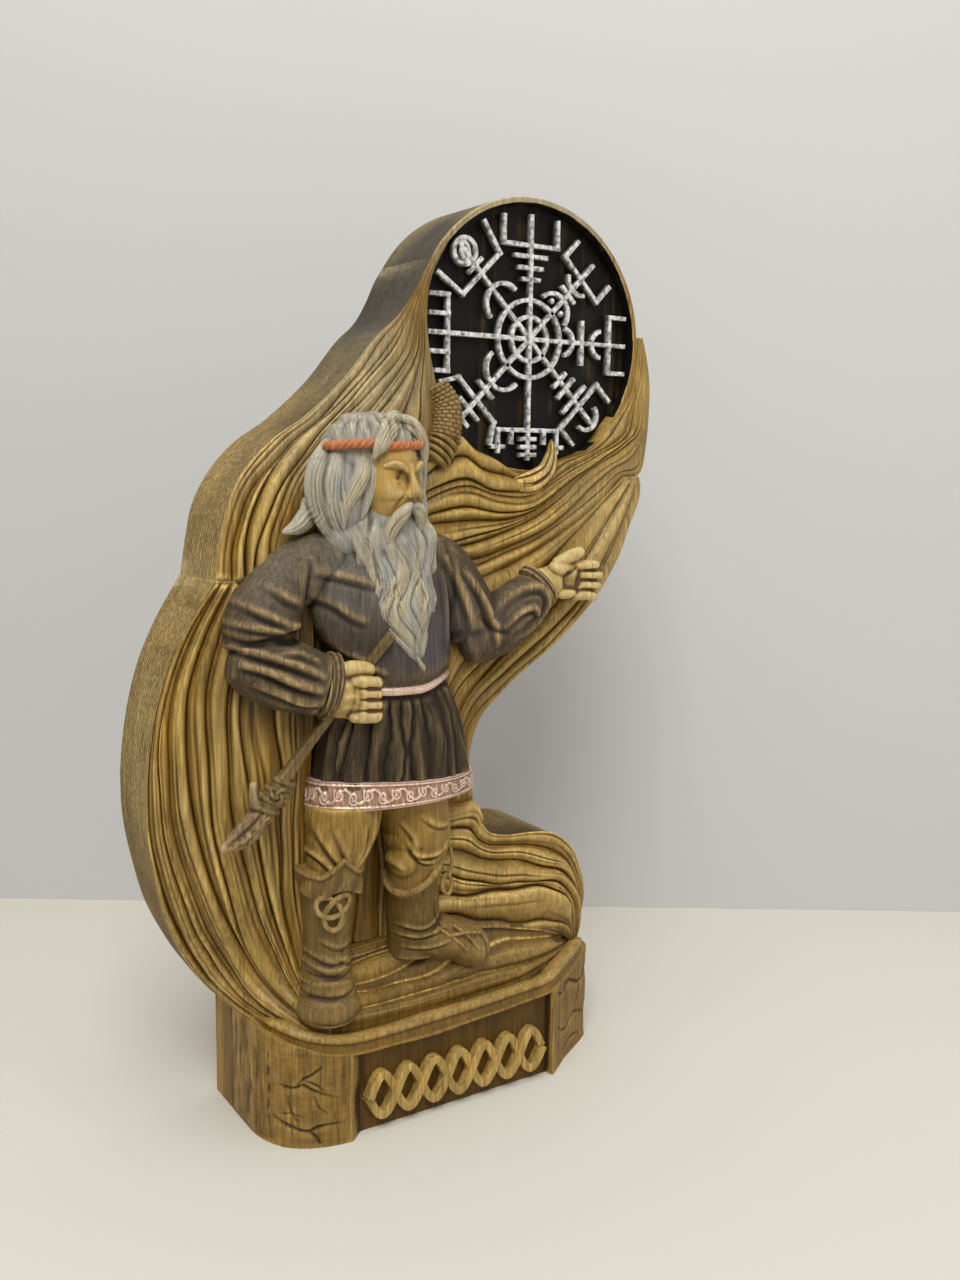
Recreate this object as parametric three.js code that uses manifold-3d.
import * as THREE from 'three';
import { mergeVertices } from 'three/addons/utils/BufferGeometryUtils.js';
import Module from 'manifold-3d';

const wasm = await Module();
wasm.setup();

// Driving sizes, in millimetres. X runs to the viewer's right, the front faces -Y, Z is up.
const seam = 0.3;              // gap left where one carved mass meets the next
const blockDepth = 58.5;       // thickness of the glued block, and of the plinth
const slabDepth = 36.5;        // thickness of the back board up to the face of the disc
const reliefMax = blockDepth - slabDepth;

const baseHeight = 31;         // plinth height under the front of the figure
const baseLeft = -68.4;        // left side of the plinth
const baseRight = 79;          // right side of the plinth
const cornerAcross = 26;       // rounded left corner, measured along the front
const cornerBack = 22.5;       // the same corner, measured along the side
const chamferAcross = 35;      // hewn right corner, measured along the front
const chamferBack = 24;        // the same corner, measured along the side
const brimRight = 0.0006;      // how fast the plinth's top edge rises to the right, per mm
const brimLeft = 0.0062;       // and to the left
const brimLow = -30;           // where that edge is lowest
const panelLeft = -38;         // sunk panel of the plinth's front
const panelRight = 45;
const panelDepth = 4.5;
const rearTop = 57;            // the plinth is carried up behind the cloth on the ground
const rearWidth = 112;
const rearX = 10.4;
const bandFoot = 4;            // ornamental band in the panel
const bandHeight = 18;
const bandPeriods = 3.5;
const bandStroke = 3;
const rollRadius = 3.4;        // rolled hem of the cloth along the plinth's front
const hemSet = 0.5;            // how far the roll lies behind the front

const notchZ = 230;            // notch in the right outline, where two masses meet
const discX = 44.5;            // disc with the compass
const discZ = 280;
const discRadius = 50;
const rimWidth = 2.1;
const fieldSunk = 5;           // depth of the blackened field below the rim
const fieldThick = 3;
const staveWidth = 1.9;
const staveThick = 3.6;
const outerRing = 14;
const innerRing = 8;

const foldBed = -4.5;          // bed of the folds behind the figure, from the disc's face
const figureBack = -1.7;       // flat back of the figure's own pieces
const ribHeight = 3;           // height of the widest carved folds
const foldSteepness = 0.4;     // greatest height of a narrow fold, as a share of its width
const waistZ = 158;            // middle of the belt
const beltHeight = 5.4;
const beltProud = 0.9;
const hemTop = 124;            // top of the ornamental hem at its front
const hemHeight = 7.2;
const hemProud = 0.9;
const waistWide = 21.5;        // half width of the tunic at the belt
const chestWide = 31;          // half width at the chest
const skirtWide = 32;          // half width at the hem
const tunicX = -16.5;          // middle of the tunic at the waist
const pleats = 15;
const sleeveRadius = 13;
const cuffRadius = 11;
const fistPitch = 4.3;         // from finger to finger, in the fist and in the open hand
const openPitch = 3.6;
const haftRadius = 1.9;
const bootRadius = 9.6;
const headX = -21;
const headZ = 228;
const headWide = 13;
const headTall = 18;

const backY = blockDepth / 2;
const faceY = backY - slabDepth;
const frontY = -backY;

// Places are given as across, rise in front of the board's face, and height.
function at(x, rise, z) {
  return new THREE.Vector3(x, faceY - rise, z);
}

// A place on the disc's plane, given by its angle and radius.
function onDisc(degrees, radius, rise) {
  const turn = THREE.MathUtils.degToRad(degrees);
  return at(discX + radius * Math.cos(turn), rise, discZ + radius * Math.sin(turn));
}

// Height of the plinth's top edge, which sags in a soft curve under the cloth.
function brim(x) {
  const away = x - brimLow;
  return baseHeight + (away > 0 ? brimRight : brimLeft) * away * away;
}

// Solids and geometries
function toSolid(geometry) {
  let plain = geometry.clone();
  plain.deleteAttribute('normal');
  plain.deleteAttribute('uv');
  plain = mergeVertices(plain, 1e-4);
  const triangles = new Uint32Array(plain.index.array);
  const places = new Float32Array(plain.attributes.position.array);
  return new wasm.Manifold(new wasm.Mesh({ numProp: 3, vertProperties: places, triVerts: triangles }));
}

function toGeometry(solid) {
  const mesh = solid.getMesh();
  const geometry = new THREE.BufferGeometry();
  geometry.setAttribute('position', new THREE.BufferAttribute(new Float32Array(mesh.vertProperties), 3));
  geometry.setIndex(new THREE.BufferAttribute(new Uint32Array(mesh.triVerts), 1));
  return geometry;
}

function volumeOf(places, triangles) {
  let sum = 0;
  for (const [a, b, c] of triangles) {
    sum += places[a].dot(new THREE.Vector3().crossVectors(places[b], places[c]));
  }
  return sum / 6;
}

// A closed body from its vertices and triangles, with its faces turned outwards.
function body(places, triangles) {
  const turned = volumeOf(places, triangles) < 0;
  const geometry = new THREE.BufferGeometry();
  geometry.setAttribute('position', new THREE.Float32BufferAttribute(places.flatMap((p) => p.toArray()), 3));
  geometry.setIndex(triangles.flatMap(([a, b, c]) => (turned ? [a, c, b] : [a, b, c])));
  return toSolid(geometry);
}

function rail(points) {
  return new THREE.CatmullRomCurve3(points, false, 'centripetal');
}

// The height of one rounded fold with a sharp groove on each side.
function foldHeight(share) {
  return Math.sqrt(Math.abs(Math.sin(Math.PI * share)));
}

// A carved mass: a sheet drawn through its rails, with folds running along them, closed behind.
function carvedMass({ rails, folds, perFold = 2, steps = 14, height = ribHeight, floor = null }, grow) {
  const curves = rails.map(rail);
  const across = folds * perFold;
  const sheet = [];
  for (let i = 0; i <= steps; i += 1) {
    const guides = rail(curves.map((curve) => curve.getPointAt(i / steps)));
    sheet.push(Array.from({ length: across + 1 }, (unused, j) => guides.getPoint(j / across)));
  }
  const normals = sheet.map((row, i) => row.map((point, j) => {
    const along = sheet[Math.min(i + 1, steps)][j].clone().sub(sheet[Math.max(i - 1, 0)][j]);
    const aside = row[Math.min(j + 1, across)].clone().sub(row[Math.max(j - 1, 0)]);
    const normal = along.cross(aside).normalize();
    const outward = floor === null ? -normal.y : normal.z;
    return outward < 0 ? normal.negate() : normal;
  }));
  const raised = sheet.map((row, i) => row.map((point, j) => {
    const width = row[Math.min(j + 1, across)].distanceTo(row[Math.max(j - 1, 0)]) * perFold / 2;
    const inside = i > 0 && i < steps ? 1 : 0;
    const fold = inside * Math.min(height, width * foldSteepness) * foldHeight((j % perFold) / perFold);
    return point.clone().addScaledVector(normals[i][j], fold + grow);
  }));
  if (grow > 0) {
    widen(raised, sheet, grow);
  }
  return closeBehind(raised, floor === null, floor === null ? backY + (grow > 0 ? 5 : 0) : floor - grow);
}

// Moves a sheet's borders outwards by more than the seam, for use as a cutter, because they meet at a slant.
const borderGrowth = 1.6;

function widen(raised, sheet, grow) {
  const last = raised.length - 1;
  const end = raised[0].length - 1;
  const push = (i, j, m, n) => {
    const away = sheet[i][j].clone().sub(sheet[m][n]).normalize();
    raised[i][j].addScaledVector(away, grow * borderGrowth);
  };
  for (let j = 0; j <= end; j += 1) {
    push(0, j, 1, j);
    push(last, j, last - 1, j);
  }
  for (let i = 0; i <= last; i += 1) {
    push(i, 0, i, 1);
    push(i, end, i, end - 1);
  }
}

// Closes a sheet with walls and a flat face, behind it or below it, ruled from one side to the other.
function closeBehind(sheet, behind, level) {
  const rows = sheet.length;
  const columns = sheet[0].length;
  const front = sheet.flat();
  const flatten = (p) => (behind ? new THREE.Vector3(p.x, level, p.z) : new THREE.Vector3(p.x, p.y, level));
  const flat = sheet.flatMap((row, i) => row.map((p, j) => {
    if (i === 0 || i === rows - 1) return flatten(p);
    return flatten(row[0]).lerp(flatten(row[columns - 1]), j / (columns - 1));
  }));
  const triangles = [];
  const id = (i, j) => i * columns + j;
  const start = front.length;
  for (let i = 0; i + 1 < rows; i += 1) {
    for (let j = 0; j + 1 < columns; j += 1) {
      const [a, b, c, d] = [id(i, j), id(i + 1, j), id(i + 1, j + 1), id(i, j + 1)];
      triangles.push([a, b, c], [a, c, d]);
      triangles.push([start + a, start + c, start + b], [start + a, start + d, start + c]);
    }
  }
  const border = [];
  for (let i = 0; i < rows - 1; i += 1) border.push(id(i, 0));
  for (let j = 0; j < columns - 1; j += 1) border.push(id(rows - 1, j));
  for (let i = rows - 1; i > 0; i -= 1) border.push(id(i, columns - 1));
  for (let j = columns - 1; j > 0; j -= 1) border.push(id(0, j));
  border.forEach((here, k) => {
    const next = border[(k + 1) % border.length];
    triangles.push([here, start + next, next], [here, start + here, start + next]);
  });
  return body([...front, ...flat], triangles);
}

// A rounded mass lofted through oval rings: each station has its middle, half width and half depth.
function loft(stations, grow = 0, { sides = 10, steps = 2, lobes = 0, lobeDepth = 0, upright = false } = {}) {
  const path = rail(stations.map((s) => s.middle));
  const spans = (stations.length - 1) * steps;
  const places = [];
  const blend = (key, t) => {
    const k = Math.min(Math.floor(t), stations.length - 2);
    return THREE.MathUtils.lerp(stations[k][key], stations[k + 1][key], t - k);
  };
  for (let i = 0; i <= spans; i += 1) {
    const t = i / steps;
    const middle = path.getPoint(i / spans);
    const tangent = path.getTangent(i / spans);
    const forward = new THREE.Vector3(0, -1, 0);
    const along = upright ? new THREE.Vector3(0, 0, Math.sign(tangent.z)) : tangent;
    const side = new THREE.Vector3().crossVectors(along, forward).normalize();
    const front = new THREE.Vector3().crossVectors(side, along).normalize();
    middle.addScaledVector(along, i === 0 ? -grow : i === spans ? grow : 0);
    for (let j = 0; j < sides; j += 1) {
      const turn = (2 * Math.PI * j) / sides;
      const wave = 1 + lobeDepth * Math.cos(lobes * turn);
      const wide = (blend('wide', t) + grow) * wave;
      const deep = (blend('deep', t) + grow) * wave;
      places.push(middle.clone().addScaledVector(side, wide * Math.cos(turn)).addScaledVector(front, deep * Math.sin(turn)));
    }
  }
  const triangles = [];
  for (let i = 0; i < spans; i += 1) {
    for (let j = 0; j < sides; j += 1) {
      const k = (j + 1) % sides;
      triangles.push([i * sides + j, i * sides + k, (i + 1) * sides + k]);
      triangles.push([i * sides + j, (i + 1) * sides + k, (i + 1) * sides + j]);
    }
  }
  for (let j = 1; j + 1 < sides; j += 1) {
    triangles.push([0, j + 1, j]);
    triangles.push([spans * sides, spans * sides + j, spans * sides + j + 1]);
  }
  return body(places, triangles);
}

function station(x, rise, z, wide, deep = wide) {
  return { middle: at(x, rise, z), wide, deep };
}

// An oval ball.
function ball(x, rise, z, wide, deep, tall, grow = 0, sides = 12) {
  const geometry = new THREE.SphereGeometry(1, sides, Math.round(sides * 0.6));
  geometry.scale(wide + grow, tall + grow, deep + grow);
  geometry.rotateX(Math.PI / 2);
  const middle = at(x, rise, z);
  geometry.translate(middle.x, middle.y, middle.z);
  return toSolid(geometry);
}

// A flat plate cut to an outline across and up, from one rise to another.
function plate(shape, riseBack, riseFront, curveSegments = 24) {
  const geometry = new THREE.ExtrudeGeometry(shape, { depth: riseFront - riseBack, bevelEnabled: false, curveSegments });
  geometry.rotateX(Math.PI / 2);
  geometry.translate(0, faceY - riseBack, 0);
  return toSolid(geometry);
}

function union(solids) {
  return solids.slice(1).reduce((whole, next) => whole.add(next), solids[0]);
}

// Plinth
function footprint(grow) {
  const shape = new THREE.Shape();
  const left = baseLeft - grow;
  const right = baseRight + grow;
  const front = frontY - grow;
  shape.moveTo(left, backY + grow);
  shape.lineTo(left, front + cornerBack);
  shape.quadraticCurveTo(left + cornerAcross * 0.1, front + cornerBack * 0.1, left + cornerAcross, front);
  shape.lineTo(right - chamferAcross, front);
  shape.lineTo(right - chamferAcross * 0.62, front + chamferBack * 0.36);
  shape.lineTo(right - chamferAcross * 0.15, front + chamferBack * 0.78);
  shape.lineTo(right, front + chamferBack);
  shape.lineTo(right, backY + grow);
  shape.closePath();
  return shape;
}

function plinth(grow) {
  const tall = brim(baseRight) + 10;
  const prism = new THREE.ExtrudeGeometry(footprint(grow), { depth: tall + grow, bevelEnabled: false, curveSegments: 8 });
  prism.translate(0, 0, -grow);
  const profile = new THREE.Shape();
  profile.moveTo(baseLeft - 5, -5);
  profile.lineTo(baseRight + 5, -5);
  const steps = 16;
  for (let i = 0; i <= steps; i += 1) {
    const x = THREE.MathUtils.lerp(baseRight + 5, baseLeft - 5, i / steps);
    profile.lineTo(x, brim(x) + grow);
  }
  profile.closePath();
  const sweep = plate(profile, -slabDepth - 5, reliefMax + 5);
  const low = toSolid(prism).intersect(sweep).subtract(panel(panelDepth - grow));
  const high = new THREE.BoxGeometry(rearWidth + 2 * grow, slabDepth + figureBack + 2 * grow, rearTop - baseHeight / 2 + grow);
  high.translate(rearX, backY - (slabDepth + figureBack) / 2, (rearTop + baseHeight / 2 + grow) / 2);
  return low.add(toSolid(high));
}

// The sunk panel in the plinth's front, open at the top under the rolled hem.
function panel(deep) {
  const shape = new THREE.Shape();
  shape.moveTo(panelLeft, -1);
  shape.lineTo(panelRight, -1);
  shape.lineTo(panelRight + 2, bandFoot + bandHeight + 4);
  shape.lineTo(panelRight + 2, brim(panelRight) + 5);
  shape.lineTo(panelLeft - 2, brim(panelRight) + 5);
  shape.closePath();
  return plate(shape, reliefMax - deep, reliefMax + 5);
}

// A straight stroke of a given width between two places of a flat drawing.
function strokeShape(ax, az, bx, bz, width) {
  const along = new THREE.Vector2(bx - ax, bz - az).normalize().multiplyScalar(width / 2);
  const shape = new THREE.Shape();
  shape.moveTo(ax - along.x + along.y, az - along.y - along.x);
  shape.lineTo(bx + along.x + along.y, bz + along.y - along.x);
  shape.lineTo(bx + along.x - along.y, bz + along.y + along.x);
  shape.lineTo(ax - along.x - along.y, az - along.y + along.x);
  shape.closePath();
  return shape;
}

// A plain braid of two ribbons that cross in the sunk panel.
function ornamentalBand() {
  const margin = 4;
  const left = panelLeft + margin;
  const span = panelRight - panelLeft - 2 * margin;
  const rise = (bandHeight - bandStroke) / 2;
  const steps = 8 * bandPeriods;
  const ribbon = (sign) => {
    const edge = (side) => Array.from({ length: steps + 1 }, (unused, k) => {
      const turn = (2 * Math.PI * bandPeriods * k) / steps;
      const slope = (sign * rise * Math.cos(turn) * 2 * Math.PI * bandPeriods) / span;
      const away = (side * bandStroke) / 2 / Math.hypot(1, slope);
      const x = left + (span * k) / steps - slope * away;
      return new THREE.Vector2(x, bandFoot + bandHeight / 2 + sign * rise * Math.sin(turn) + away);
    });
    return new THREE.Shape([...edge(-1), ...edge(1).reverse()]);
  };
  const back = reliefMax - panelDepth + seam;
  return union([1, -1].map((sign) => plate(ribbon(sign), back, reliefMax - seam)));
}

// Disc
function circleShape(x, z, radius) {
  const shape = new THREE.Shape();
  shape.absarc(x, z, radius, 0, 2 * Math.PI, false);
  return shape;
}

function discBlock(grow) {
  const whole = plate(circleShape(discX, discZ, discRadius + grow), -slabDepth - grow, grow, 24);
  const sunk = plate(circleShape(discX, discZ, discRadius - rimWidth - grow), -fieldSunk - fieldThick + grow, 5, 24);
  return whole.subtract(sunk);
}

function discField() {
  const radius = discRadius - rimWidth - seam;
  return plate(circleShape(discX, discZ, radius), -fieldSunk - fieldThick + seam, -fieldSunk, 24);
}

function ringShape(x, z, radius, width) {
  const shape = circleShape(x, z, radius + width / 2);
  const hole = new THREE.Path();
  hole.absarc(x, z, radius - width / 2, 0, 2 * Math.PI, true);
  shape.holes.push(hole);
  return shape;
}

// The strokes of one arm of the compass, each from radius and offset to radius and offset,
// drawn for a field of this radius.
const drawnField = 47.9;
const arms = [
  { name: 'east', bars: [[0, 0, 44.5, 0], [24.3, -7.5, 24.3, 7.5], [37.5, -10.5, 37.5, 10.5], [37.5, 10.5, 44.5, 10.5],
    [37.5, -10.5, 44.5, -10.5]], bows: [[15, 5, -80, 80], [34, 5, 100, 260]] },
  { name: 'north_east', bars: [[0, 0, 40.5, 0], [24.5, -3.4, 24.5, 3.4], [33, -10.8, 33, 10.8], [33, 10.8, 41, 10.8],
    [33, -10.8, 41, -10.8]], bows: [[14.6, 7, -85, 85], [33.4, 6.2, 125, 235]] },
  { name: 'north', bars: [[0, 0, 43.5, 0], [21.3, -3.4, 21.3, 3.4], [25.4, -4.8, 25.4, 4.8], [29.5, -6.6, 29.5, 6.6],
    [33.4, -12, 33.4, 12], [33.4, 12, 42.6, 12], [33.4, -12, 42.6, -12]], bows: [] },
  { name: 'north_west', bars: [[0, 0, 45, 0], [30.5, -11, 30.5, 11], [30.5, 11, 42.5, 13.5], [30.5, -11, 42.5, -13.5],
    [34.2, -3.2, 34.2, 3.2]], bows: [[16.5, 7.4, -88, 88], [40.6, 4.6, 0, 360]] },
  { name: 'west', bars: [[0, 0, 42.8, 0], [35.5, -13.2, 35.5, 13.2], [35.5, 13.2, 42.6, 13.2], [35.5, 6.6, 42.6, 6.6],
    [35.5, -6.6, 42.6, -6.6], [35.5, -13.2, 42.6, -13.2]], bows: [] },
  { name: 'south_west', bars: [[0, 0, 44.5, 0], [27, -3.6, 27, 3.6], [32.5, -11, 32.5, 11], [32.5, 11, 39, 15],
    [32.5, -11, 39, -15], [37.2, -5, 37.2, 5], [42, -3.4, 42, 3.4]], bows: [[16, 7.6, -92, 92]] },
  { name: 'south', bars: [[0, 0, 43.5, 0], [33.2, -15.8, 33.2, 15.8], [33.2, 15.8, 41, 15.8], [33.2, -15.8, 41, -15.8],
    [33.2, 8.6, 37.4, 8.6], [33.2, -8.6, 37.4, -8.6], [39.4, -2.9, 39.4, 2.9], [42.3, -2.9, 42.3, 2.9],
    [39.4, 13.2, 39.4, 18.2], [39.4, -18.2, 39.4, -13.2]], bows: [] },
  { name: 'south_east', bars: [[0, 0, 42, 0], [20.2, -3.2, 20.2, 3.2], [24.4, -4.6, 24.4, 4.6], [30, -6.6, 30, 6.6],
    [33.5, -12, 33.5, 12], [33.5, 12, 41.5, 12], [33.5, -12, 41.5, -12]], bows: [[38.5, 5.2, -85, 85]] },
];

function compassStaves() {
  const back = -fieldSunk + seam;
  const front = back + staveThick;
  const pieces = [outerRing, innerRing].map((r) => plate(ringShape(discX, discZ, r, staveWidth), back, front, 12));
  arms.forEach((arm, k) => {
    const turn = (Math.PI / 4) * k;
    const cos = Math.cos(turn);
    const sin = Math.sin(turn);
    const fit = (discRadius - rimWidth) / drawnField;
    const place = (r, off) => [discX + fit * (r * cos - off * sin), discZ + fit * (r * sin + off * cos)];
    for (const [r0, off0, r1, off1] of arm.bars) {
      const shape = strokeShape(...place(r0, off0), ...place(r1, off1), staveWidth);
      pieces.push(plate(shape, back, front));
    }
    for (const [r, radius, from, to] of arm.bows) {
      pieces.push(plate(bowShape(...place(r, 0), radius * fit, turn, from, to), back, front, 4));
    }
  });
  return union(pieces);
}

// A bow or a whole small ring drawn about a place on an arm.
function bowShape(x, z, radius, turn, fromDegrees, toDegrees) {
  if (toDegrees - fromDegrees >= 360) return ringShape(x, z, radius, staveWidth);
  const from = turn + THREE.MathUtils.degToRad(fromDegrees);
  const to = turn + THREE.MathUtils.degToRad(toDegrees);
  const shape = new THREE.Shape();
  shape.absarc(x, z, radius + staveWidth / 2, from, to, false);
  shape.absarc(x, z, radius - staveWidth / 2, to, from, true);
  shape.closePath();
  return shape;
}

// Carved masses of flowing cloth
const upperWaveRails = [
  [onDisc(165, discRadius, -0.5), onDisc(175.3, discRadius + 5.2, -4), onDisc(182.3, discRadius + 12.5, -5),
    at(-30, -6, 263), at(-45.6, -5, 249), at(-58, -5.5, 240.5), at(-67, -6, 231), at(-73.5, -5, 219.5),
    at(-76.4, -4.5, 207), at(-78.2, -3.5, 196)],
  [onDisc(165.4, discRadius - 0.7, 0), onDisc(188.4, discRadius + 5.1, -1), at(-24, -1, 256), at(-42, 0, 239),
    at(-56, 1, 222), at(-62, 1, 209), at(-64, 1, 196)],
  [onDisc(165.8, discRadius - 1.4, 0), onDisc(189.2, discRadius + 0.1, 0), onDisc(200.9, discRadius + 11.6, 0),
    at(-26, 0, 243), at(-38, 0, 224), at(-44, 0, 210), at(-46, 0, 196)],
  [onDisc(166.2, discRadius - 2.1, 0), onDisc(176, discRadius - 4, 1), onDisc(192, discRadius - 4.5, 1.5),
    onDisc(206, discRadius - 3.5, 1.5), onDisc(222, discRadius + 1.5, 1), onDisc(224.7, discRadius + 15.4, 0),
    at(-12, 0, 216), at(-18, 0, 196)],
];

const flameRails = [
  [at(18, 1, 191.3), at(34, 3, 197.3), at(49, 4, 204.3), at(65, 4, 213.3), at(78, 3, 222.3), at(87, 2, 229.6),
    onDisc(-42.6, discRadius + 22.3, 0), onDisc(-32.7, discRadius + 16.7, 0), onDisc(-22.9, discRadius + 11.7, 0),
    onDisc(-13.9, discRadius + 8.2, 0), onDisc(-5.2, discRadius + 5, 0), onDisc(4, discRadius + 2.4, 0.5)],
  [at(10, 2, 206), at(26, 3, 209), at(41, 4, 214), at(55, 4, 222), at(68, 4, 232), onDisc(-45.4, discRadius + 6.2, 4),
    onDisc(-32.9, discRadius + 8.9, 3), onDisc(-18.8, discRadius + 6, 2), onDisc(-7.5, discRadius + 4, 2),
    onDisc(4, discRadius + 1.6, 1)],
  [at(2, 2, 220), at(14, 3, 222), at(28, 4, 219.5), at(42, 4, 220), at(58, 4, 229), at(74, 4, 237),
    onDisc(-36.8, discRadius + 6.8, 3), onDisc(-24, discRadius + 2.4, 3), onDisc(-8, discRadius + 2.2, 2),
    onDisc(4, discRadius + 0.8, 1)],
  [at(-6, 1, 231), at(1, 2, 240), onDisc(226, discRadius - 1, 2), onDisc(236, discRadius - 1.5, 2),
    onDisc(248, discRadius - 2.6, 2), onDisc(259, discRadius - 0.5, 2), onDisc(272, discRadius + 1, 2),
    onDisc(284, discRadius - 3.4, 2), onDisc(304, discRadius - 2, 2), onDisc(322, discRadius - 2.5, 2),
    onDisc(338, discRadius - 0.4, 2), onDisc(352, discRadius - 0.6, 1.5), onDisc(364, discRadius, 1)],
];

const rightRails = [
  [at(20.9, 0, 108), at(18.4, 0, 124), at(23.1, 0, 139), at(37.4, 0, 153), at(57.8, 0, 167), at(75, 0, 182),
    at(86.6, 0, 197), at(93.2, 0, 212.8), at(97, 0, 222), at(97.7, 0, notchZ)],
  [at(14, 1, 108), at(12, 1, 126), at(17, 1.5, 143), at(33, 3, 159), at(52, 3.5, 173), at(68, 3.5, 188),
    at(79, 3, 203), at(87, 2.5, 216), at(94.6, 2, notchZ)],
  [at(6, 1, 108), at(6, 2, 130), at(10, 2, 150), at(26, 3, 167), at(42, 4, 179), at(57, 4, 192), at(70, 3.5, 207),
    at(80, 3, 219), at(91, 2.5, notchZ)],
  [at(-2, 1, 108), at(0, 2, 140), at(6, 2, 165), at(18, 1, 190.8), at(34, 3, 196.8), at(49, 4, 203.8),
    at(65, 4, 212.8), at(78, 3, 221.8), at(87.3, 3, notchZ - 1)],
];

const lobeRails = [
  [at(-2, 1, 107.5), at(8, 1, 106.5), at(20.5, 0, 104), at(24.5, 1, 96), at(34, 1, 92.5), at(46, 1, 92),
    at(57, 0, 90), at(66, -1, 83.5), at(73, -3, 73.5), at(77, -5, 64), at(baseRight - 0.5, -7, 52),
    at(baseRight - 0.5, -8, 37)],
  [at(-4, 2, 95), at(10, 3, 92), at(22, 4, 87), at(38, 5, 85), at(52, 4, 81), at(63, 2, 75), at(70, 0, 66),
    at(75, -3, 55), at(76.8, -6, 37)],
  [at(-6, 2, 80), at(8, 4, 78), at(22, 5, 75), at(38, 5, 72), at(52, 4, 69), at(62, 3, 64), at(69, 0, 55),
    at(74.5, -4, 37.5)],
  [at(-8, 2, 60), at(6, 3, 60), at(20, 4, 58), at(36, 5, 55), at(50, 4, 52), at(60, 2, 48.5), at(67, 0, 44),
    at(72, -3, 38)],
];

const hemRise = reliefMax - rollRadius - hemSet;
const leftRails = [
  [at(-78.2, -3.5, 195.2), at(-88, -6, 179), at(-94, -7, 165.7), at(-97.9, -8, 152), at(-100.3, -8.5, 138),
    at(-101.4, -8.5, 124), at(-100.8, -10, 110), at(-98.1, -12.5, 95), at(-93.8, -17, 79), at(-86.2, -24, 63),
    at(-80.3, -29, 53.5), at(-73.5, -32, 44), at(-68.9, -22, 39.5), at(-67, -8, 38), at(-63, 5, 36),
    at(-56, hemRise - 4.1, 34), at(-48, hemRise + 0.7, 32.3)],
  [at(-70, -1, 195), at(-79, -2, 178), at(-86, -2.5, 160), at(-89, -3, 138), at(-89.5, -4, 118), at(-86, -6, 96),
    at(-79, -10, 76), at(-71, -14, 60), at(-66, -8, 50), at(-60, 4, 44), at(-53, 13, 39.5), at(-47.5, 17.5, 36.5)],
  [at(-60, 0, 192), at(-66, 1, 172), at(-70, 1, 152), at(-70.5, 1, 130), at(-69.5, 0, 108), at(-66.5, -1, 88),
    at(-62, -2, 70), at(-58, 2, 56), at(-54, 9, 48), at(-50.5, 14, 43.5), at(-47, 16, 40.5)],
  [at(-46, 1, 190), at(-46, 2, 165), at(-46, 1, 145), at(-47, 1, 125), at(-48, 0, 105), at(-48, 1, 85),
    at(-47.5, 4, 68), at(-47.5, 8, 56), at(-47, 11, 49), at(-46, 13, 44)],
];

const groundRails = [
  [at(-47, hemRise - 4, 39.5), at(-30, hemRise - 4, 38), at(-10, hemRise - 4, 37.6), at(12, hemRise - 4, 38),
    at(35, hemRise - 4.4, 39.4), at(50, hemRise - 8.4, 41), at(62, hemRise - 15.6, 41.4), at(69, hemRise - 22, 42)],
  [at(-49, 9.5, 45), at(-30, 9.5, 43.6), at(-8, 10, 44.6), at(14, 10.5, 45.8), at(34, 10.5, 45.6), at(50, 7.5, 45.4),
    at(61, 2.5, 44.6), at(70, -4, 43)],
  [at(-51, 4, 50), at(-44, 3, 50), at(-30, 3.4, 50), at(-8, 4.5, 53), at(8, 5, 58), at(22, 5.5, 58), at(38, 6, 55.5),
    at(52, 5, 51.5), at(61, 3, 48), at(67, -0.5, 45)],
  [at(-52, 1, 52), at(-44, -1, 53), at(-30, -1.3, 54), at(-8, -1.3, 57), at(16, -1, 58.5), at(38, -1, 56),
    at(55, -3, 50), at(66, -8, 43)],
];

// The cloth behind the figure, which hangs in upright folds.
const boardRails = [
  [at(-45.6, foldBed, 194), at(-45.4, foldBed, 150), at(-46, foldBed, 100), at(-45.6, foldBed, rearTop + seam)],
  [at(-24, foldBed, 196), at(-24, foldBed, 150), at(-24, foldBed - 2, 100), at(-26, foldBed - 2, rearTop + seam)],
  [at(4, foldBed, 196), at(-1, foldBed, 150), at(-1.5, foldBed, 100), at(-5.4, foldBed, rearTop + seam)],
];

// The rolled hem along the plinth's front: places across and how far each lies behind the rest.
const hemPath = [[-66, 23], [-62, 12], [-55, 3.5], [-46, 0], [-30, 0], [-10, 0], [12, 0], [30, 0], [43, 0.3],
  [55.4, 7.1], [66, 13.7], [74, 19.5]];

function hemRoll(grow) {
  const lift = rollRadius * 0.8;
  return loft(hemPath.map(([x, back]) => station(x, hemRise - back, brim(x) + lift, rollRadius)), grow,
    { sides: 8, steps: 1 });
}

// Tunic: torso, belt, skirt and hem share one set of widths.
const beltTop = waistZ + beltHeight / 2;
const beltFoot = waistZ - beltHeight / 2;

function torso(grow) {
  const top = [
    station(tunicX, 3, beltTop + seam - grow, waistWide, 15), station(tunicX - 1, 3, 172, waistWide + 2, 15.5),
    station(tunicX - 4, 2, 186, waistWide + 6, 16.5), station(tunicX - 5.5, 1, 198, chestWide, 15.5),
    station(tunicX - 5.5, 0, 207, chestWide - 4, 12), station(tunicX - 5.5, 0, 213, 14, 8)];
  return loft(top, grow, { sides: 16, steps: 1, upright: true });
}

function belt(grow) {
  const ring = [0, 1].map((k) => station(tunicX, 3, beltFoot + k * beltHeight, waistWide + beltProud, 15 + beltProud));
  return loft(ring, grow, { sides: 16, steps: 1, upright: true });
}

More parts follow.
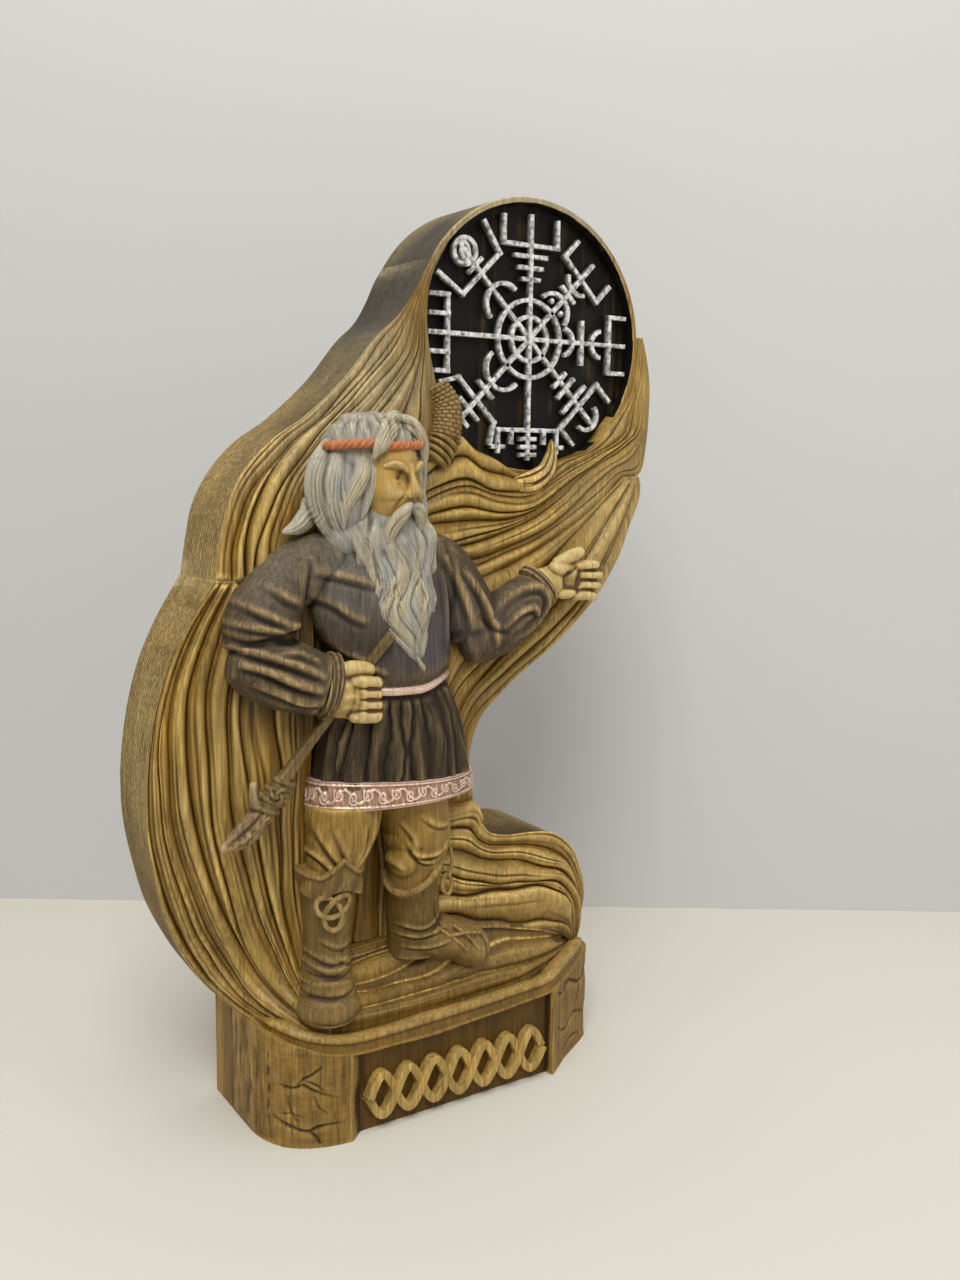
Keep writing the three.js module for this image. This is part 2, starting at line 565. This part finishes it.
function skirt(grow) {
  const folds = [
    station(tunicX, 3, hemTop + seam, skirtWide, 17), station(tunicX, 3, hemTop + 12, skirtWide - 3, 16.5),
    station(tunicX, 3, hemTop + 22, skirtWide - 6.5, 16), station(tunicX, 3, beltFoot - seam, waistWide, 14.6)];
  return loft(folds, grow, { sides: 3 * pleats, steps: 1, lobes: pleats, lobeDepth: 0.035, upright: true });
}

function hemBand(grow) {
  const ring = [0, 1].map((k) => station(tunicX, 3, hemTop - k * hemHeight, skirtWide + hemProud + 1 * k, 17.4 + hemProud));
  return loft(ring, grow, { sides: 24, steps: 1, upright: true });
}

// Sleeves, hands and axe
function leftUpperSleeve(grow) {
  const r = sleeveRadius;
  return loft([station(-41, 1, 202, r - 3, 10.5), station(-53, 1, 197.5, r - 1, 11.5), station(-61.5, 2, 187, r - 0.5, 11.5),
    station(-65, 3, 177, r - 0.5, 11.5), station(-66, 4, 169, r - 5, 7)], grow);
}

function leftForearm(grow) {
  const r = sleeveRadius;
  return loft([station(-77, 4, 172, r - 6, 6), station(-70, 5, 170, r - 1.5, 10), station(-60, 7, 165, r - 0.5, 11.5),
    station(-51, 9, 161.6, r - 1.4, 11.5), station(-46, 10, 160, cuffRadius, 10.5)], grow);
}

function leftCuff(grow) {
  return loft([station(-45.6, 10, 159.9, cuffRadius + 0.8, 11), station(-42.4, 10.5, 159.2, cuffRadius + 0.8, 10.8)], grow,
    { steps: 1 });
}

// A finger or thumb in two bones.
function finger(root, knuckle, tip, grow) {
  return loft([root, knuckle, tip], grow, { sides: 7, steps: 1 });
}

// A closed fist: a palm with four curled fingers and a thumb laid over the haft.
function leftHand(grow) {
  const parts = [ball(-37, 12, 157.4, 7.6, 8.4, 9, grow, 10)];
  for (let k = 0; k < 4; k += 1) {
    const z = 163 - k * fistPitch;
    parts.push(finger(station(-39, 17.5, z, 2.4), station(-34, 17.6, z - 0.8, 2.6), station(-30, 14, z - 1.4, 2.4), grow));
  }
  parts.push(finger(station(-42, 15, 164, 3), station(-36, 17.4, 166.4, 2.8), station(-31, 17, 166.8, 2), grow));
  return union(parts);
}

function axeHaft(grow) {
  const r = haftRadius;
  return loft([station(-25, 19.6, 177.5, r), station(-32.6, 14.5, 166, r + 0.3), station(-43, 12, 152, r + 0.5),
    station(-54, 10, 138, r + 0.9), station(-62, 8, 127, r + 1.5), station(-65.5, 7.5, 122, r + 1.2)], grow, { sides: 8 });
}

function axeBinding(grow) {
  return loft([station(-58, 9, 131, 3.8), station(-60.6, 8.5, 127.8, 5.2), station(-65, 8, 121.8, 5.4),
    station(-67, 7.5, 119, 4)], grow, { sides: 10, steps: 1 });
}

// The stone blade, bound across the lower end of the haft.
function axeHead(grow) {
  return loft([station(-67, 7.5, 130, 2.2, 2.2), station(-69.4, 7.5, 124, 3.8, 3.4), station(-71.6, 7.5, 117.4, 6.2, 4.2),
    station(-75.4, 7.5, 112, 5.8, 3.6), station(-82.5, 7, 107, 1.8, 1.2)], grow, { sides: 8, steps: 2 });
}

function rightUpperSleeve(grow) {
  const r = sleeveRadius;
  return loft([station(-2, 1, 204, r - 4.5, 8), station(5, 2, 198, r - 3, 10), station(11.5, 4, 187, r - 3, 10.5),
    station(15.5, 6, 176.5, r - 3, 10.5), station(15.5, 7, 168, r - 6.5, 6)], grow);
}

function rightForearm(grow) {
  const r = sleeveRadius;
  return loft([station(9.5, 7, 168, r - 7, 6), station(16.5, 8, 171.5, r - 3.4, 9), station(27, 9.5, 178, r - 2.6, 10),
    station(36, 10, 184.8, r - 3.4, 9), station(40.4, 10, 188.4, cuffRadius - 2.4, 8)], grow);
}

function rightCuff(grow) {
  return loft([station(40.8, 10, 188.7, cuffRadius - 1.8, 8.4), station(43.2, 10, 190.6, cuffRadius - 1.8, 8.2)], grow,
    { steps: 1 });
}

// An open hand, palm up, with four fingers to the right and the thumb above.
function rightHand(grow) {
  const parts = [ball(53, 10.5, 193, 8.6, 5, 7.2, grow, 10), ball(47.5, 10, 191, 6, 5, 6.6, grow, 8)];
  for (let k = 0; k < 4; k += 1) {
    const z = 197.4 - k * openPitch;
    const reach = 70.5 - Math.abs(k - 1.4) * 1.6;
    parts.push(finger(station(56, 11.4, z - 0.6, 2.1), station(63.5, 12.4, z, 2), station(reach, 12, z - 0.4, 1.5), grow));
  }
  parts.push(finger(station(48.5, 11, 196, 3), station(53.5, 12.4, 200, 2.6), station(59.5, 12.6, 202, 1.8), grow));
  return union(parts);
}

// Head
function head(grow) {
  const parts = [
    ball(headX, 6.5, headZ, headWide, 14, headTall, grow, 12),
    ball(headX, 19, headZ - 2, 2.6, 2.8, 4.6, grow, 8),
    ball(headX, 17.4, headZ + 4.6, 8, 2.6, 2.2, grow, 10),
  ];
  return union(parts);
}

function hair(grow) {
  const parts = [
    ball(headX - 4, 2, headZ + 6.5, 20, 14.5, 18, grow, 13),
    loft([station(headX - 15, 4, headZ + 12, 7, 10), station(headX - 20, 5, headZ, 8.5, 11),
      station(headX - 21, 5, headZ - 10, 8.5, 11), station(headX - 16, 6, headZ - 19, 6, 8)], grow),
    loft([station(headX - 20, 3, headZ - 8, 8, 8), station(headX - 28, 2, headZ - 14, 5.5, 6),
      station(headX - 36, 1, headZ - 17.5, 1.6, 2)], grow, { sides: 8 }),
    loft([station(headX + 11, 4, headZ + 12, 5, 9), station(headX + 14, 4, headZ, 4.6, 8),
      station(headX + 14.5, 4, headZ - 14, 4.2, 7)], grow),
  ];
  return union(parts);
}

// A twisted band worn round the brow.
function headband(grow) {
  const count = 18;
  const from = -0.1 * Math.PI;
  const stations = Array.from({ length: count + 1 }, (unused, k) => {
    const turn = from + ((Math.PI - 2 * from) * k) / count;
    return station(headX - 3.4 + 19.6 * Math.cos(turn), 2.5 + 15.8 * Math.sin(turn), headZ + 13 - 2.4 * Math.sin(turn), 1.9);
  });
  return tube(stations.map((s) => s.middle), 1.9 + grow, 3);
}

function tube(points, radius, sides) {
  const shape = circleShape(0, 0, radius);
  const path = rail(points);
  const geometry = new THREE.ExtrudeGeometry(shape, {
    steps: points.length - 1, bevelEnabled: false, extrudePath: path, curveSegments: sides });
  return toSolid(geometry);
}

function beard(grow) {
  return loft([station(headX - 1, 11, headZ - 8, 12, 8), station(headX, 12, headZ - 17, 16.5, 9.6),
    station(headX + 2, 11.8, headZ - 28, 16, 10), station(headX + 3.6, 12, headZ - 40, 12.6, 9.8),
    station(headX + 3.4, 12.5, headZ - 50, 11, 9.2), station(headX + 5, 13, headZ - 60, 8, 8.4),
    station(headX + 7.6, 14.5, headZ - 69, 2.6, 4)], grow, { sides: 14, steps: 1, upright: true });
}

function moustache(grow) {
  return union([-1, 1].map((side) => loft([station(headX - side * 1.6, 18.6, headZ - 8.6, 2.2, 2.4),
    station(headX + side * 6, 17.6, headZ - 11, 2.7, 3), station(headX + side * 11.5, 14.6, headZ - 16.5, 1.4, 2)], grow,
  { sides: 8, steps: 2 })));
}

// Legs
function leftTrouser(grow) {
  const top = hemTop - hemHeight - seam;
  return loft([station(-35.4, 5.5, top, 13, 12), station(-36.5, 6, 106, 12.2, 12), station(-39.5, 6, 97, 11.4, 11.6),
    station(-41.6, 6.4, 94.3, 9.6, 10)], grow, { upright: true });
}

function leftBoot(grow) {
  const r = bootRadius;
  return loft([station(-42, 6.5, 94, r + 1.6, 11), station(-42.6, 6.5, 89, r + 1, 10.8), station(-43, 6.2, 76, r - 0.6, 10),
    station(-43, 6.2, 65, r - 0.4, 10.2), station(-43, 7.4, 57, r + 0.5, 12.4), station(-43, 8.2, 50, r + 0.8, 13.2),
    station(-43, 8.2, 43.6, r + 0.2, 12.6), station(-43, 8, 41, r - 1.6, 10.6)], grow,
  { sides: 12, steps: 1, upright: true });
}

// Three linked rings on the boot's front.
function bootKnot(grow) {
  const rings = [90, 210, 330].map((degrees) => {
    const turn = THREE.MathUtils.degToRad(degrees);
    const ring = new THREE.TorusGeometry(3.6, 1.1 + grow, 4, 9);
    ring.rotateX(Math.PI / 2);
    const middle = at(-42.6 + 3 * Math.cos(turn), 17.2, 83 + 3 * Math.sin(turn));
    ring.translate(middle.x, middle.y, middle.z);
    return toSolid(ring);
  });
  return union(rings);
}

function rightTrouser(grow) {
  const top = hemTop - hemHeight - seam;
  return loft([station(-9.5, 4.5, top, 13.4, 12), station(-7.5, 5, 108, 13, 12), station(-6, 5.4, 100, 12.4, 12),
    station(-6, 5, 96.3, 10.4, 10)], grow, { upright: true });
}

function rightBoot(grow) {
  const r = bootRadius;
  const shaft = loft([station(-6, 5, 96, r + 1.6, 11.6), station(-6.2, 4.8, 90, r + 0.8, 11), station(-6, 4, 78, r - 0.4, 9.6),
    station(-5.6, 3, 66, r, 9), station(-5, 2.4, 54, r, 8.4)], grow, { steps: 1, upright: true });
  const foot = loft([station(-12, 2.5, 59.5, 6.5, 7), station(-3, 4, 60, 8.6, 9), station(8, 6.4, 58.2, 8.6, 9.6),
    station(18, 8, 55, 7.4, 9), station(24, 8.4, 52.6, 4, 5)], grow);
  return shaft.add(foot);
}

// A braided strap beside the head, and one tongue of cloth that crosses the disc's edge.
function braidStrap(grow) {
  const beside = (degrees, away, rise, wide, deep) => ({ middle: onDisc(degrees, discRadius + away, rise), wide, deep });
  return loft([beside(203.2, -4.3, 1, 3.4, 3), beside(214, -3.5, 2.4, 5.2, 3.6), beside(222.4, 3.5, 3.4, 5.2, 3.6),
    beside(226.3, 13.7, 3.6, 3.6, 3)], grow, { sides: 10, steps: 2 });
}

function flameTongue(grow) {
  const below = (degrees, away, rise, wide, deep) => ({ middle: onDisc(degrees, discRadius + away, rise), wide, deep });
  return loft([below(258.9, 4.5, 2, 3, 2.6), below(268.4, 2.8, 2.5, 4.6, 3), below(276, -1.1, 2.6, 3.8, 3),
    below(280.5, -6.7, 2, 2.4, 2.4), below(283.4, -12.6, 1, 0.5, 1)], grow, { sides: 8, steps: 2 });
}

// Finishes
const finish = (color, roughness, metalness = 0) => ({ color, roughness, metalness });
const wood = finish('#9a7b45', 0.6);
const woodSide = finish('#7d6a3e', 0.7);
const cloth = finish('#5b4b3a', 0.7);
const leather = finish('#6b5334', 0.65);
const hairPaint = finish('#9aa0a4', 0.7);
const skin = finish('#b8935a', 0.6);
const black = finish('#1b1815', 0.55);
const silver = finish('#c3c6c8', 0.35, 0.6);
const rose = finish('#b79f93', 0.4, 0.5);
const red = finish('#b0503a', 0.6);

// A piece of the figure ends in a flat back, just in front of the folds behind it.
const figure = (form) => (grow) => {
  const front = new THREE.BoxGeometry(blockDepth * 4, blockDepth, blockDepth * 12);
  front.translate(0, faceY - figureBack + grow - blockDepth / 2, 0);
  return form(grow).intersect(toSolid(front));
};

// The pieces in the order in which they keep their shape: each is cut clear of those before it.
const mass = (rails, folds, extra = {}) => (grow) => carvedMass({ rails, folds, ...extra }, grow);
const pieces = [
  ['axe_haft', figure(axeHaft), wood],
  ['axe_binding', figure(axeBinding), leather],
  ['axe_head', figure(axeHead), skin],
  ['headband', figure(headband), red],
  ['boot_knot', figure(bootKnot), leather],
  ['belt', figure(belt), rose],
  ['hem_band', figure(hemBand), rose],
  ['left_hand', figure(leftHand), skin],
  ['right_hand', figure(rightHand), skin],
  ['left_cuff', figure(leftCuff), cloth],
  ['right_cuff', figure(rightCuff), cloth],
  ['moustache', figure(moustache), hairPaint],
  ['beard', figure(beard), hairPaint],
  ['head', figure(head), skin],
  ['hair', figure(hair), hairPaint],
  ['left_forearm_sleeve', figure(leftForearm), cloth],
  ['left_upper_sleeve', figure(leftUpperSleeve), cloth],
  ['right_forearm_sleeve', figure(rightForearm), cloth],
  ['right_upper_sleeve', figure(rightUpperSleeve), cloth],
  ['tunic_skirt', figure(skirt), cloth],
  ['tunic_torso', figure(torso), cloth],
  ['left_boot', figure(leftBoot), leather],
  ['right_boot', figure(rightBoot), leather],
  ['left_trouser', figure(leftTrouser), wood],
  ['right_trouser', figure(rightTrouser), wood],
  ['braid_strap', figure(braidStrap), leather],
  ['flame_tongue', figure(flameTongue), wood],
  ['plinth', plinth, woodSide],
  ['plinth_band', ornamentalBand, wood],
  ['hem_roll', hemRoll, wood],
  ['left_wave', mass(leftRails, 9, { steps: 18 }), wood],
  ['lower_right_wave', mass(lobeRails, 5), wood],
  ['right_wave', mass(rightRails, 6), wood],
  ['flame_wave', mass(flameRails, 8, { steps: 18 }), wood],
  ['upper_left_wave', mass(upperWaveRails, 7), wood],
  ['ground_cloth', mass(groundRails, 4, { steps: 12, height: 1.5, floor: baseHeight - 5 }), wood],
  ['back_folds', mass(boardRails, 6, { steps: 6, height: 2.2 }), wood],
  ['disc_block', discBlock, woodSide],
  ['disc_field', discField, black],
  ['compass_staves', compassStaves, silver],
];

function touches(a, b) {
  const first = a.boundingBox();
  const second = b.boundingBox();
  return [0, 1, 2].every((k) => first.min[k] < second.max[k] && second.min[k] < first.max[k]);
}

// Keeps the main body where a cut leaves crumbs, and drops edges too short to matter.
function mainBody(solid) {
  const bodies = solid.asOriginal().simplify(seam / 10).decompose();
  return bodies.sort((a, b) => b.volume() - a.volume())[0];
}

const group = new THREE.Group();
const cutters = [];
for (const [name, form, look] of pieces) {
  let solid = form(0);
  for (const cutter of cutters) {
    if (touches(solid, cutter)) solid = solid.subtract(cutter);
  }
  cutters.push(form(seam));
  const mesh = new THREE.Mesh(toGeometry(mainBody(solid)), new THREE.MeshStandardMaterial(look));
  mesh.name = name;
  group.add(mesh);
}

// The origin lies in the middle of the footprint of the whole, on the table.
const box = new THREE.Box3().setFromObject(group);
const middle = box.getCenter(new THREE.Vector3());
group.position.set(-middle.x, -middle.y, -box.min.z);

export default group;
